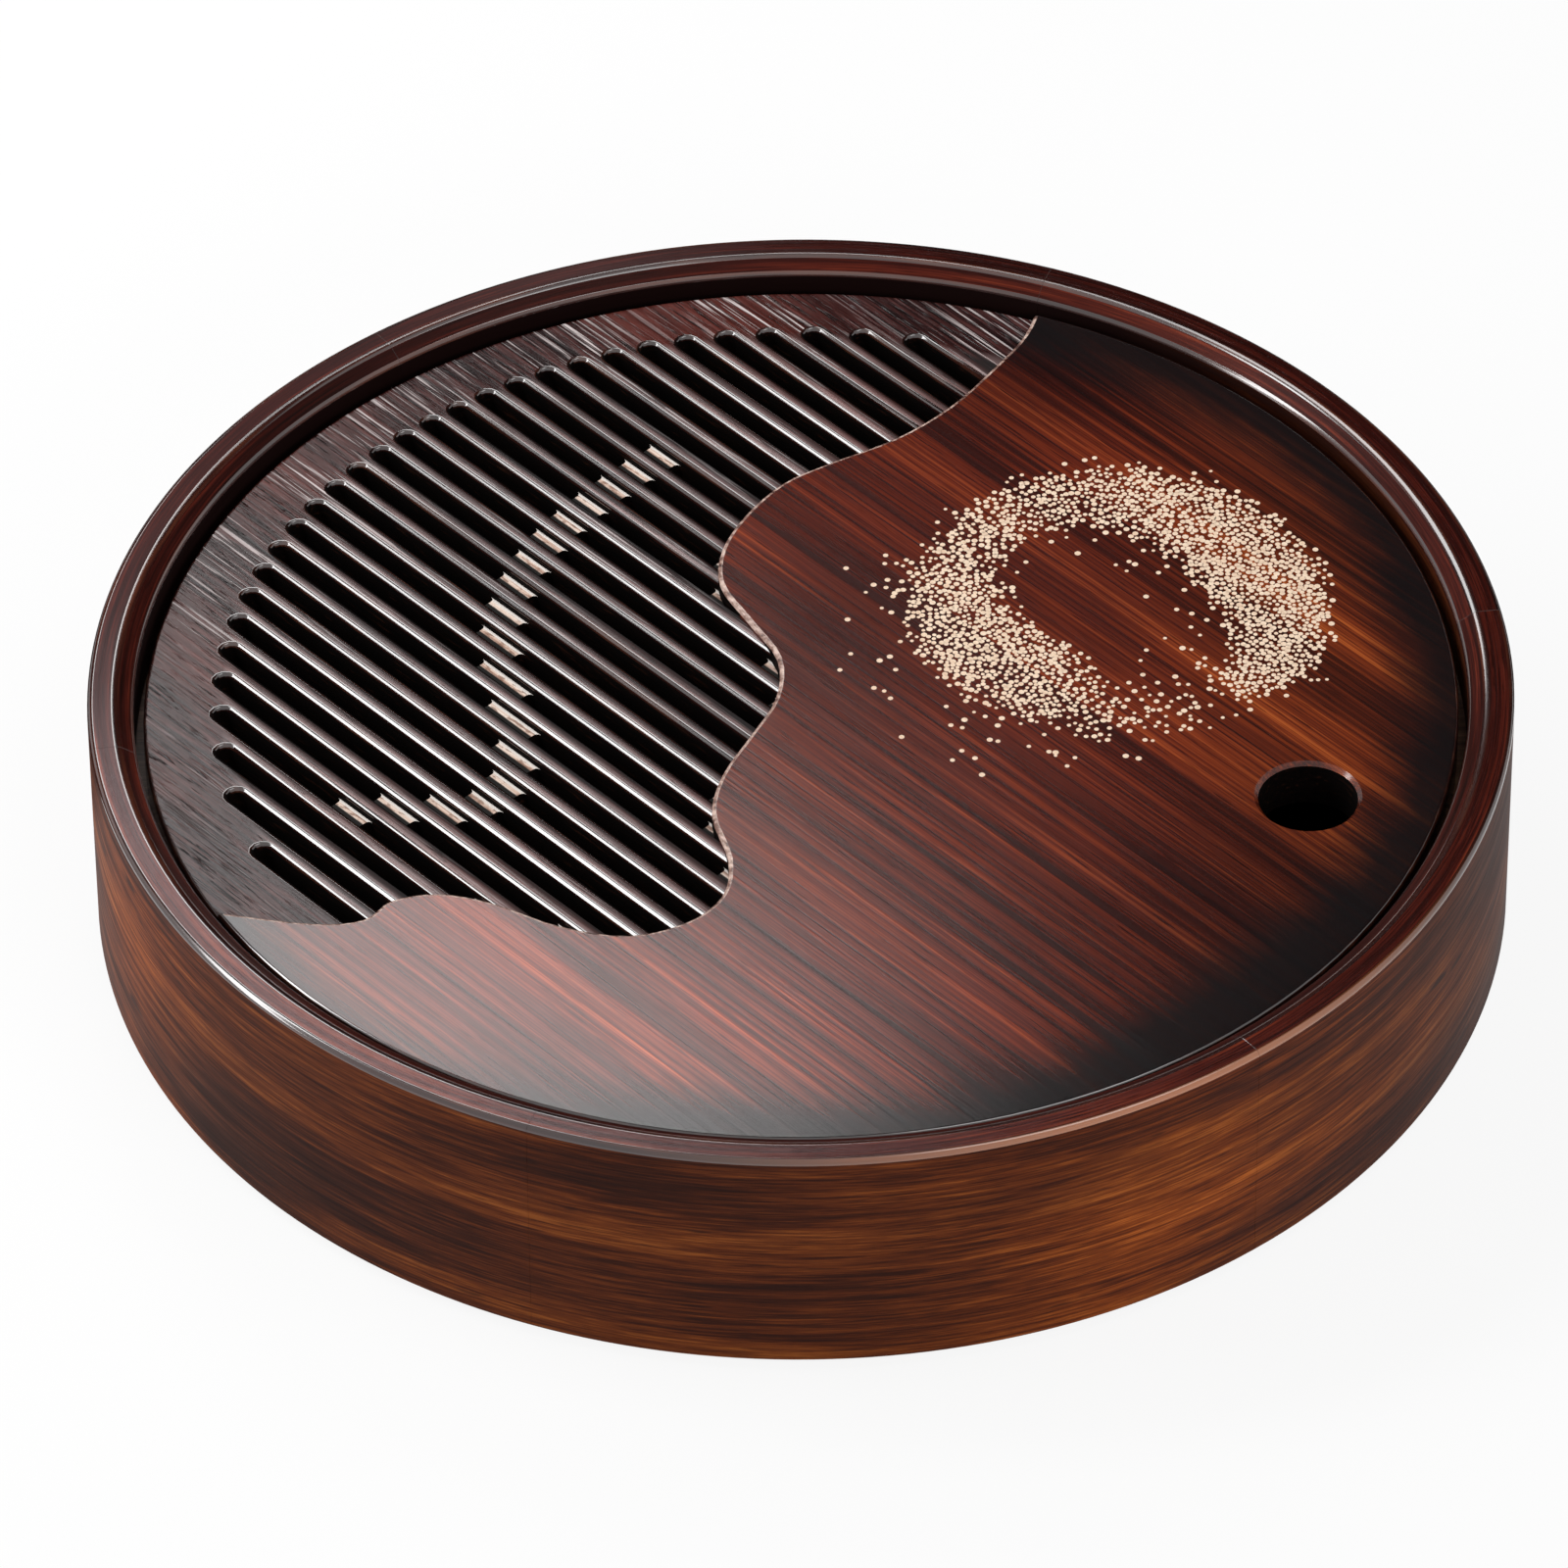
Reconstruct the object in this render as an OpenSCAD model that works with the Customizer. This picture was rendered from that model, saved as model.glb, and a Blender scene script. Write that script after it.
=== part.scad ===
// Round tea tray with a reservoir: a ring of six arc segments round a base board,
// strips inside it that carry a slotted, lift-off drip panel, and a water tray below.
// The origin is at the centre of the underside, on the surface it stands on, +Z up.

/* [Ring] */
// Outer diameter of the ring
ring_d = 280; // [240:5:330]
// Height of the ring, without the foot pads
ring_h = 51.5; // [44:0.5:80]
// Radial thickness of the wall beside the panel
wall_w = 9; // [8:0.5:14]
// Radial width of the strips that carry the panel
ledge_w = 7; // [6:0.5:12]
// Radius of the rounding on the outer top edge
rim_round = 1.2; // [0.4:0.1:3]
// Width of the bevel on the inner top edge
bevel_w = 3.5; // [1:0.1:5]
// Depth of that bevel
bevel_h = 2.4; // [0.8:0.1:3.5]
// Angle of the first joint between two segments, from +X
joint_turn = 8; // [0:1:59]

/* [Drip panel] */
// Thickness of the panel
panel_t = 10; // [8:0.5:14]
// How far the top of the panel lies under the top of the ring
panel_drop = 4.2; // [2:0.1:8]
// Gap all round between the panel and the wall
panel_gap = 1.8; // [0.6:0.1:4]
// Radius of the rounding on the panel's top edge
panel_round = 0.8; // [0.3:0.1:2]
// How far the slotted area is carved below the rest
carve_h = 1.6; // [0.6:0.1:3]
// Direction of the grain and of the slots, from +X
grain_turn = -48; // [-60:1:-36]
// Diameter of the finger hole
hole_d = 19.5; // [16:0.5:26]
// Distance from the panel's edge to the centre of the finger hole
hole_inset = 25.8; // [20:0.2:34]
// Direction of the finger hole from the centre, from +X
hole_turn = -17.7; // [-40:0.1:10]

/* [Slots] */
// Distance from one slot to the next
slot_pitch = 6.9; // [5.5:0.1:12]
// Width of a slot
slot_w = 3.8; // [2.4:0.1:4.5]
// Distance of the middle slot from the panel's centre
slot_shift = -3.2; // [-6:0.1:6]
// Distance from the panel's edge to the round slot ends
slot_margin = 15.1; // [12:0.1:24]
// Corner radius of the square slot ends
slot_corner = 1; // [0.4:0.1:1.1]
// Depth of the slots where they run over the rib
skim_h = 2.2; // [0.5:0.1:3]
// Width of the rib that stays under the slats
rib_w = 7.4; // [4:0.2:14]

/* [Water tray] */
// Gap between the lip of the water tray and the panel over it
tray_head = 3.3; // [1:0.1:12]
// Wall and floor thickness of the water tray
tray_wall = 2.5; // [1.5:0.1:4]
// Gap between the lip of the water tray and the strips
tray_gap = 2; // [0.6:0.1:5]
// How far the lip stands out from the wall
lip_w = 3; // [2:0.1:6]
// Thickness of the lip
lip_t = 2.4; // [1.2:0.1:4]
// How much narrower the tray is at its floor, on the radius
tray_draft = 5; // [2:0.5:12]
// Radius between the floor and the wall, inside
tray_fillet = 7; // [3:0.5:10]

/* [Base] */
// Thickness of the base board
base_t = 6; // [5:0.5:7.5]
// Gap round the edge of the base board
base_gap = 0.2; // [0.1:0.05:0.5]
// Diameter of a foot pad
foot_d = 16; // [10:1:24]
// How far a foot pad stands out of the base board
foot_h = 2; // [1:0.5:5]
// How far a foot pad is let into the base board
foot_sink = 1.5; // [0.5:0.5:3]
// Distance from the board's edge to the centre of a foot pad
foot_inset = 22.8; // [20:0.2:60]

/* [Fixings] */
// Diameter of a joint dowel
dowel_d = 5; // [3:0.5:6]
// Length of a joint dowel
dowel_l = 24; // [12:1:30]
// Diameter of a base screw
screw_d = 3.5; // [2.5:0.5:4]
// Length of a base screw
screw_l = 16; // [13:1:22]
// Diameter of a screw head
head_d = 7; // [6:0.5:7.5]
// Clearance of dowels, screws and pads in their holes, on the radius
fix_gap = 0.1; // [0.05:0.05:0.2]

/* [Hidden] */
segments = 6;
segment_turn = 360 / segments;
foot_count = 4;
foot_turn = 45;
wide_fn = 180;
round_fn = 64;

// Radii, from the outside in
ring_r = ring_d / 2;
wall_r = ring_r - wall_w;
ledge_r = wall_r - ledge_w;
panel_r = wall_r - panel_gap;
base_r = wall_r - base_gap;
lip_r = ledge_r - tray_gap;
tray_r = lip_r - lip_w;
foot_ring_r = base_r - foot_inset;
hole_r = panel_r - hole_inset;
slot_ring_r = panel_r - slot_margin;

// Heights, from the ground up
ring_z = foot_h;
foot_top = foot_h + foot_sink;
board_top = ring_z + base_t;
ring_top = ring_z + ring_h;
panel_top = ring_top - panel_drop;
ledge_z = panel_top - panel_t;
carve_z = panel_top - carve_h;
skim_z = carve_z - skim_h;
tray_top = ledge_z - tray_head;
tray_h = tray_top - board_top;

// Fixings
dowel_r = (wall_r + ring_r) / 2;
dowel_hole_slack = 0.5;
dowel_margin = 13;
dowel_heights = [ring_z + dowel_margin, ring_top - dowel_margin];
screw_r = (ledge_r + wall_r) / 2;
screw_tip = 3;
screw_hole_slack = 0.5;
screw_recess_w = 1;
screw_recess_h = 1.2;
base_chamfer = 0.5;
pad_chamfer = 0.5;
ring_foot_round = 0.8;
inner_round = 0.6;
strip_chamfer = 0.8;
panel_under_chamfer = 1;
hole_chamfer = 0.8;
lip_round = 0.8;
over = 1;

// Points of an arc round (cx, cy), from angle a0 to a1
function arc(cx, cy, r, a0, a1, n = 6) =
  [for (i = [0:n]) let (a = a0 + (a1 - a0) * i / n) [cx + r * cos(a), cy + r * sin(a)]];

// Smooth curve through points, with an extra point at each end that only steers it
spline_steps = 4;
function spline_at(a, b, c, d, u) =
  0.5 * (2 * b + (c - a) * u + (2 * a - 5 * b + 4 * c - d) * u * u
    + (3 * b - a - 3 * c + d) * u * u * u);
function spline(p) =
  [for (i = [1:len(p) - 3], j = [0:spline_steps - 1])
    spline_at(p[i - 1], p[i], p[i + 1], p[i + 2], j / spline_steps)];

// The carved area's edge, as [along the grain, across the grain] from the panel's centre,
// in thousandths of the panel's radius, so it grows with the panel
drawn = panel_r / 1000;
wave_points = drawn * [
  [-526, 1068], [-464, 944], [-410, 851], [-383, 759], [-359, 642], [-359, 526],
  [-384, 410], [-396, 325], [-379, 232], [-341, 147], [-279, 87], [-186, 60], [-89, 33],
  [-23, -31], [15, -116], [54, -209], [112, -283], [205, -334], [259, -395], [268, -472],
  [232, -557], [147, -618], [39, -658], [-31, -704], [-67, -766], [-63, -824],
  [-108, -886], [-224, -975], [-341, -1060], [-418, -1130]
];
wave = spline(wave_points);
wave_s = [for (p = wave) [p[1], p[0]]];

// Middle line of the rib, in the same units
rib_points = drawn * [
  [-596, 378], [-596, 274], [-596, 192], [-585, 84], [-561, -24], [-515, -129],
  [-437, -233], [-361, -291], [-284, -343], [-215, -396], [-175, -450], [-164, -504],
  [-191, -558], [-243, -613], [-301, -690], [-363, -767]
];
rib = spline(rib_points);
rib_s = [for (p = rib) [p[1], p[0]]];
rib_back = rib[0][1];
rib_front = rib[len(rib) - 1][1];

// Centre of the slot ends' circle, in the same units
slot_centre = drawn * [-19, 9];
slot_min_l = 15;
slot_stop = 0.2;
slot_arc_steps = 3;
slot_reach = ceil(panel_r / slot_pitch);

function slot_t(k) = slot_shift + slot_pitch * k;
function slot_has_tip(k) = abs(slot_t(k) - slot_centre[1]) < slot_ring_r - slot_w;
function slot_tip(k) =
  slot_centre[0] - sqrt(pow(slot_ring_r, 2) - pow(slot_t(k) - slot_centre[1], 2));

// Where the carved edge crosses a slot's width, at all the points that lie in it
function slot_crossings(k) = let (t = slot_t(k), h = slot_w / 2) concat(
  [lookup(t - h, wave_s), lookup(t + h, wave_s)],
  [for (p = wave) if (abs(p[1] - t) < h) p[0]]);
function slot_end(k) = min(slot_crossings(k)) - slot_stop;
slots = [for (k = [-slot_reach:slot_reach])
  if (slot_has_tip(k) && slot_end(k) - slot_tip(k) > slot_min_l) k];

// Half of the rib's width along a slot, which grows where the rib runs aslant
rib_probe = 2;
function rib_slope(t) =
  (lookup(t + rib_probe, rib_s) - lookup(t - rib_probe, rib_s)) / (2 * rib_probe);
function rib_half(t) = rib_w / 2 * sqrt(1 + pow(rib_slope(t), 2));
function on_rib(t) = t < rib_back && t > rib_front;

// Half section of the ring, as [radius, height]
function ring_section() = concat(
  [[wall_r, ring_z]],
  arc(ring_r - ring_foot_round, ring_z + ring_foot_round, ring_foot_round, -90, 0),
  arc(ring_r - rim_round, ring_top - rim_round, rim_round, 0, 90),
  arc(wall_r + bevel_w, ring_top - inner_round, inner_round, 90, 90 + atan(bevel_h / bevel_w), 3),
  [[wall_r, ring_top - bevel_h]]);

// Half section of the strips under the panel
function strip_section() = [
  [ledge_r + strip_chamfer, board_top], [wall_r, board_top], [wall_r, ledge_z],
  [ledge_r + strip_chamfer, ledge_z], [ledge_r, ledge_z - strip_chamfer],
  [ledge_r, board_top + strip_chamfer]];

module at_joint(i) {
  rotate([0, 0, joint_turn + segment_turn * i]) translate([dowel_r, 0, 0]) children();
}

module at_screw(i) {
  rotate([0, 0, joint_turn + segment_turn * i]) translate([screw_r, 0, 0]) children();
}

module dowel_hole() {
  l = dowel_l + 2 * dowel_hole_slack;
  for (z = dowel_heights)
    translate([0, l / 2, z]) rotate([90, 0, 0])
      cylinder(d = dowel_d + 2 * fix_gap, h = l, $fn = round_fn);
}

module ring_segment(i) {
  color("#3a1410") difference() {
    rotate([0, 0, joint_turn + segment_turn * i])
      rotate_extrude(angle = segment_turn, $fn = wide_fn) polygon(ring_section());
    at_joint(i) dowel_hole();
    at_joint(i + 1) dowel_hole();
  }
}

// A strip that bridges one joint of the ring, with a screw up into its middle
module ledge_strip(i) {
  color("#5a3220") difference() {
    rotate([0, 0, joint_turn + segment_turn * (i - 0.5)])
      rotate_extrude(angle = segment_turn, $fn = wide_fn) polygon(strip_section());
    at_screw(i)
      cylinder(d = screw_d + 2 * fix_gap, h = ring_z + screw_l + screw_hole_slack, $fn = round_fn);
  }
}

module joint_dowels() {
  color("#c89a63") for (i = [0:segments - 1], z = dowel_heights)
    at_joint(i) translate([0, dowel_l / 2, z]) rotate([90, 0, 0])
      cylinder(d = dowel_d, h = dowel_l, $fn = round_fn);
}

module at_foot(i) {
  rotate([0, 0, foot_turn + 360 / foot_count * i]) translate([foot_ring_r, 0, 0]) children();
}

module base_board() {
  hole = screw_d / 2 + fix_gap;
  head = head_d / 2 + fix_gap;
  color("#5a3220") difference() {
    rotate_extrude($fn = wide_fn) polygon([
      [0, ring_z], [base_r - base_chamfer, ring_z], [base_r, ring_z + base_chamfer],
      [base_r, board_top], [0, board_top]]);
    for (i = [0:segments - 1]) at_screw(i) {
      cylinder(r = hole, h = board_top + over, $fn = round_fn);
      translate([0, 0, ring_z]) cylinder(r1 = head, r2 = hole, h = head - hole, $fn = round_fn);
    }
    for (i = [0:foot_count - 1])
      at_foot(i) translate([0, 0, ring_z - over])
        cylinder(r = foot_d / 2 + fix_gap, h = foot_sink + over, $fn = round_fn);
  }
}

// A countersunk wood screw, head down, with a cross recess
module base_screw() {
  shaft = screw_d / 2;
  head = head_d / 2;
  difference() {
    rotate_extrude($fn = round_fn) polygon([
      [0, 0], [head, 0], [shaft, head - shaft], [shaft, screw_l - screw_tip], [0, screw_l]]);
    for (a = [0, 90]) rotate([0, 0, a])
      translate([-head / 2, -screw_recess_w / 2, -over])
        cube([head, screw_recess_w, screw_recess_h + over]);
  }
}

module base_screws() {
  color("#b9b4a8") for (i = [0:segments - 1])
    at_screw(i) translate([0, 0, ring_z]) base_screw();
}

module foot_pad(i) {
  r = foot_d / 2;
  color("#1c1c1e") at_foot(i) rotate_extrude($fn = round_fn)
    polygon([[0, 0], [r - pad_chamfer, 0], [r, pad_chamfer], [r, foot_top], [0, foot_top]]);
}

// Half section of the water tray, as [radius, height]
function tray_section() = let (
  floor_z = board_top + tray_wall,
  foot_r = tray_r - tray_draft,
  lean = atan(tray_draft / tray_h),
  outer = tray_fillet + tray_wall,
  side = tray_wall / cos(lean),
  outer_x = foot_r - outer * tan(45 - lean / 2))
  concat(
    [[0, board_top]],
    arc(outer_x, board_top + outer, outer, -90, -lean),
    [[tray_r - lip_t * tan(lean), tray_top - lip_t], [lip_r - lip_round, tray_top - lip_t]],
    arc(lip_r - lip_round, tray_top - lip_round, lip_round, 0, 90, 4),
    [[tray_r - side, tray_top]],
    arc(outer_x, floor_z + tray_fillet, tray_fillet, -lean, -90),
    [[0, floor_z]]);

module water_tray() {
  color("#161617") rotate_extrude($fn = wide_fn) polygon(tray_section());
}

// Half section of the panel with its top at the height z
function panel_section(z) = concat(
  [[0, ledge_z], [panel_r - panel_under_chamfer, ledge_z],
    [panel_r, ledge_z + panel_under_chamfer]],
  arc(panel_r - panel_round, z - panel_round, panel_round, 0, 90, 5),
  [[0, z]]);

// The part of the panel that isn't carved, to the right of the wavy edge
module raised_area() {
  far = 2 * panel_r;
  translate([0, 0, ledge_z - over]) linear_extrude(height = panel_t + 2 * over)
    polygon(concat(wave, [[far, -far], [far, far]]));
}

// The left end of a slot, as a round tip or with small corners
function slot_left(s, t, tip) = let (h = slot_w / 2) tip
  ? arc(s + h, t, h, 90, 270, 2 * slot_arc_steps)
  : concat(
      arc(s + slot_corner, t + h - slot_corner, slot_corner, 90, 180, slot_arc_steps),
      arc(s + slot_corner, t - h + slot_corner, slot_corner, 180, 270, slot_arc_steps));

// Points of a slot's outline from s0 to s1
function slot_outline(s0, s1, t, tip) = let (h = slot_w / 2) concat(
  slot_left(s0, t, tip),
  arc(s1 - slot_corner, t - h + slot_corner, slot_corner, -90, 0, slot_arc_steps),
  arc(s1 - slot_corner, t + h - slot_corner, slot_corner, 0, 90, slot_arc_steps));

// A slot: a shallow cut that reaches in under the wavy edge, and the part that goes
// right through, in two where it crosses the rib
module slot(k) {
  t = slot_t(k);
  tip = slot_tip(k);
  end = slot_end(k);
  middle = lookup(t, rib_s);
  reach = max(slot_crossings(k)) + slot_corner + over;
  translate([0, 0, skim_z]) linear_extrude(height = skim_h + over)
    polygon(slot_outline(tip, reach, t, true));
  translate([0, 0, ledge_z - over]) linear_extrude(height = carve_z - ledge_z + 2 * over) {
    if (on_rib(t)) {
      polygon(slot_outline(tip, middle - rib_half(t), t, true));
      polygon(slot_outline(middle + rib_half(t), end, t, false));
    } else
      polygon(slot_outline(tip, end, t, true));
  }
}

module finger_hole() {
  wide = hole_chamfer + over;
  rotate([0, 0, hole_turn]) translate([hole_r, 0, 0]) {
    translate([0, 0, ledge_z - over])
      cylinder(d = hole_d, h = panel_t + 2 * over, $fn = round_fn);
    translate([0, 0, panel_top - hole_chamfer])
      cylinder(d1 = hole_d, d2 = hole_d + 2 * wide, h = wide, $fn = round_fn);
  }
}

module drip_panel() {
  color("#45201a") difference() {
    union() {
      difference() {
        rotate_extrude($fn = wide_fn) polygon(panel_section(carve_z));
        rotate([0, 0, grain_turn]) for (k = slots) slot(k);
      }
      intersection() {
        rotate_extrude($fn = wide_fn) polygon(panel_section(panel_top));
        rotate([0, 0, grain_turn]) raised_area();
      }
    }
    finger_hole();
  }
}

ring_segment(0);  // ring_segment_1
ring_segment(1);  // ring_segment_2
ring_segment(2);  // ring_segment_3
ring_segment(3);  // ring_segment_4
ring_segment(4);  // ring_segment_5
ring_segment(5);  // ring_segment_6
ledge_strip(0);  // ledge_strip_1
ledge_strip(1);  // ledge_strip_2
ledge_strip(2);  // ledge_strip_3
ledge_strip(3);  // ledge_strip_4
ledge_strip(4);  // ledge_strip_5
ledge_strip(5);  // ledge_strip_6
joint_dowels();
base_board();
base_screws();
foot_pad(0);  // foot_pad_1
foot_pad(1);  // foot_pad_2
foot_pad(2);  // foot_pad_3
foot_pad(3);  // foot_pad_4
water_tray();
drip_panel();
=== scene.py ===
"""The dressed scene of a round slotted tea tray.

Dark stained bamboo: a ring of six segments, a drip panel with a carved and slotted
half, and a black water tray under it. Metres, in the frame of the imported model.
"""

import math
import random

import bmesh
import bpy
from mathutils import Matrix, Vector

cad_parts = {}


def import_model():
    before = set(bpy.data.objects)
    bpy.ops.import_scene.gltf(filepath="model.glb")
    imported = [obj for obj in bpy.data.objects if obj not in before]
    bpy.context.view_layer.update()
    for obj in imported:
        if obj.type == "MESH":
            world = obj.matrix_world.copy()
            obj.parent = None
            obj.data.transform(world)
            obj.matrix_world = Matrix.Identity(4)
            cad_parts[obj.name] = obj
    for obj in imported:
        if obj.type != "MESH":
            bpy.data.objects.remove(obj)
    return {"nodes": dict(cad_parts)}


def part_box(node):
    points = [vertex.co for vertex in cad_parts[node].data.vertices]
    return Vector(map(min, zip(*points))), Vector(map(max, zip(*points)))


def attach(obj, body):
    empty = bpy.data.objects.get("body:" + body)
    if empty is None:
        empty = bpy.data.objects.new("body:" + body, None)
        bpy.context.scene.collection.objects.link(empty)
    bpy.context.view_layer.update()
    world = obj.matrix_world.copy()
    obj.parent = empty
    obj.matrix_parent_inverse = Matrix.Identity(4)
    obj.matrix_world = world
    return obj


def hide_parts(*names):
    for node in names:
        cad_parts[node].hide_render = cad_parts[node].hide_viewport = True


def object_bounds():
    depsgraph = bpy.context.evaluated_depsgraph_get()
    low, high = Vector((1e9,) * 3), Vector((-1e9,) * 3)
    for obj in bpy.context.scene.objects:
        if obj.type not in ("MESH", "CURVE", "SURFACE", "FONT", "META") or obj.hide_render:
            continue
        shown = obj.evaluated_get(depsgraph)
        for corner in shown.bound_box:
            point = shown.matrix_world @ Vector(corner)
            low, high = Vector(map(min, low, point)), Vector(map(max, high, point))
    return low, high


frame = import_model()
cad_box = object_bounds()

MM = 0.001
BASE_BODY = "ring_and_base"
PANEL_BODY = "drip_panel"

# Places in the frame, from the CAD nodes
PANEL_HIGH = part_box("drip_panel")[1]
RING_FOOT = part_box("base_board")[0].z
RING_TOP = cad_box[1].z
RING_R = cad_box[1].x
PANEL_TOP = PANEL_HIGH.z
PANEL_R = PANEL_HIGH.x

# The panel's levels, down from its top
CARVE_H = 1.6 * MM
SKIM_H = 2.2 * MM
CARVE_Z = PANEL_TOP - CARVE_H
SKIM_Z = CARVE_Z - SKIM_H

# The grain of the panel, from +X, in degrees, and the slots across it, in millimetres
GRAIN_TURN = -48
SLOT_PITCH = 6.9
SLOT_SHIFT = -3.2
SLOT_FIELD_R = 112.5
SLOT_CENTRE = (-2.4, 1.2)


# Node trees

class Tree:
    """A material's node tree, with short calls for the nodes used here."""

    def __init__(self, name):
        self.material = bpy.data.materials.new(name)
        self.material.use_nodes = True
        self.nodes = self.material.node_tree.nodes
        self.links = self.material.node_tree.links
        self.nodes.clear()

    def feed(self, socket, value):
        """Links a socket, or sets a plain value on it."""
        if isinstance(value, bpy.types.NodeSocket):
            self.links.new(value, socket)
        elif value is not None:
            if hasattr(value, "__len__") and len(value) == 3 and len(socket.default_value) == 4:
                value = (*value, 1)
            socket.default_value = value

    def node(self, kind, inputs=(), **settings):
        node = self.nodes.new(kind)
        for name, value in settings.items():
            setattr(node, name, value)
        for key, value in dict(inputs).items():
            self.feed(node.inputs[key], value)
        return node

    def math(self, operation, a, b=None, clamp=False):
        node = self.node("ShaderNodeMath", operation=operation, use_clamp=clamp)
        self.feed(node.inputs[0], a)
        self.feed(node.inputs[1], b)
        return node.outputs[0]

    def position(self, turn=0):
        """Object coordinates in millimetres, turned about Z so that X runs along the grain."""
        coords = self.node("ShaderNodeTexCoord").outputs["Object"]
        turned = self.node("ShaderNodeMapping", {"Vector": coords}, vector_type="POINT")
        turned.inputs["Rotation"].default_value = (0, 0, math.radians(-turn))
        turned.inputs["Scale"].default_value = (1 / MM,) * 3
        return turned.outputs[0]

    def attribute(self, name):
        return self.node("ShaderNodeAttribute", attribute_name=name)

    def stretch(self, vector, scale, shift=(0, 0, 0)):
        node = self.node("ShaderNodeMapping", {"Vector": vector}, vector_type="POINT")
        node.inputs["Scale"].default_value = scale
        node.inputs["Location"].default_value = shift
        return node.outputs[0]

    def noise(self, vector, scale, shift=(0, 0, 0), detail=3, rough=0.5, distortion=0):
        """Noise from 0 to 1 with its own scale along, across and up."""
        node = self.node("ShaderNodeTexNoise", {
            "Vector": self.stretch(vector, scale, shift), "Scale": 1.0, "Detail": detail,
            "Roughness": rough, "Distortion": distortion})
        return node.outputs["Fac"]

    def remap(self, value, low, high, to_low=0.0, to_high=1.0, smooth=False):
        node = self.node("ShaderNodeMapRange", {
            "Value": value, "From Min": low, "From Max": high,
            "To Min": to_low, "To Max": to_high})
        node.interpolation_type = "SMOOTHSTEP" if smooth else "LINEAR"
        return node.outputs["Result"]

    def ramp(self, value, stops):
        node = self.node("ShaderNodeValToRGB", {"Fac": value})
        elements = node.color_ramp.elements
        while len(elements) < len(stops):
            elements.new(0.5)
        for element, (place, colour) in zip(elements, stops):
            element.position = place
            element.color = (*colour, 1)
        return node.outputs["Color"]

    def mix(self, factor, a, b, blend="MIX"):
        node = self.node("ShaderNodeMix", data_type="RGBA", blend_type=blend)
        self.feed(node.inputs[0], factor)
        self.feed(node.inputs[6], a)
        self.feed(node.inputs[7], b)
        return node.outputs[2]

    def separate(self, vector):
        return self.node("ShaderNodeSeparateXYZ", {"Vector": vector}).outputs

    def bump(self, height, distance, strength=1.0, normal=None):
        node = self.node("ShaderNodeBump", {
            "Height": height, "Distance": distance, "Strength": strength, "Normal": normal})
        return node.outputs["Normal"]

    def surface(self, colour, roughness, normal=None, **sockets):
        """Ends the tree with a Principled shader."""
        shader = self.node("ShaderNodeBsdfPrincipled", {
            "Base Color": colour, "Roughness": roughness, "Normal": normal, **sockets})
        self.node("ShaderNodeOutputMaterial", {"Surface": shader.outputs[0]})
        return self.material


# Stained bamboo

def fibres(t, grain, shift=(0, 0, 0), run=1.0):
    """Masks of bamboo grain: long bands, streaks and fine fibres, each from 0 to 1."""
    band = t.noise(grain, (0.005 / run, 0.07, 0.08), shift, detail=2, rough=0.5)
    streak = t.noise(grain, (0.011 / run, 0.6, 0.65), shift, detail=4, rough=0.65)
    fibre = t.noise(grain, (0.03 / run, 1.9, 2.0), shift, detail=4, rough=0.7)
    return band, streak, fibre


def slot_phase(t, grain):
    """Place across the slots, from 0 at the middle of one to 1 at the next."""
    across = t.math("SUBTRACT", t.separate(grain)[1], SLOT_SHIFT)
    return t.math("FRACT", t.math("DIVIDE", across, SLOT_PITCH))


def stained(t, grain, tones, shift=(0, 0, 0), run=1.0):
    """Colour of stained bamboo, from dark to light tones, with streaks of a given length."""
    band, streak, fibre = fibres(t, grain, shift, run)
    both = t.math("ADD", t.math("MULTIPLY", band, 0.3), t.math("MULTIPLY", streak, 0.36))
    level = t.math("ADD", both, t.math("MULTIPLY", fibre, 0.34))
    colour = t.ramp(t.remap(level, 0.39, 0.61), tones)
    fleck = t.noise(grain, (0.09, 2.2, 2.4), (shift[0] + 6, shift[1] + 2, shift[2] + 8), detail=2)
    colour = t.mix(t.remap(fleck, 0.6, 0.7, 0.0, 0.7), colour, tones[0][1])
    return colour, streak, fibre


SIDE_TONES = (
    (0.0, (0.012, 0.0028, 0.0015)), (0.3, (0.042, 0.0085, 0.0024)), (0.52, (0.1, 0.02, 0.004)),
    (0.78, (0.2, 0.046, 0.008)), (1.0, (0.36, 0.1, 0.018)))
PANEL_TONES = (
    (0.0, (0.016, 0.0035, 0.003)), (0.3, (0.05, 0.0075, 0.0045)), (0.52, (0.1, 0.0135, 0.006)),
    (0.78, (0.19, 0.028, 0.009)), (1.0, (0.34, 0.065, 0.018)))
BOARD_TONES = (
    (0.0, (0.05, 0.018, 0.01)), (0.4, (0.12, 0.05, 0.025)), (1.0, (0.28, 0.14, 0.07)))
RIM_TONES = (
    (0.0, (0.008, 0.0015, 0.001)), (0.45, (0.03, 0.0045, 0.003)), (0.75, (0.075, 0.011, 0.006)),
    (1.0, (0.17, 0.03, 0.012)))
ARRIS_TONES = (
    (0.0, (0.01, 0.003, 0.003)), (0.5, (0.025, 0.008, 0.006)), (1.0, (0.07, 0.024, 0.014)))


def radius_mm(t, place):
    flat = t.stretch(place, (1, 1, 0))
    return t.node("ShaderNodeVectorMath", {"Vector": flat}, operation="LENGTH").outputs["Value"]


def spot(t, place, centre, radius):
    """A soft round mask about a point of the plan, 1 at its middle."""
    away = t.stretch(place, (1, 1, 0), (-centre[0], -centre[1], 0))
    length = t.node("ShaderNodeVectorMath", {"Vector": away}, operation="LENGTH")
    return t.remap(length.outputs["Value"], radius, 0.0, 0.0, 1.0, smooth=True)


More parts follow.
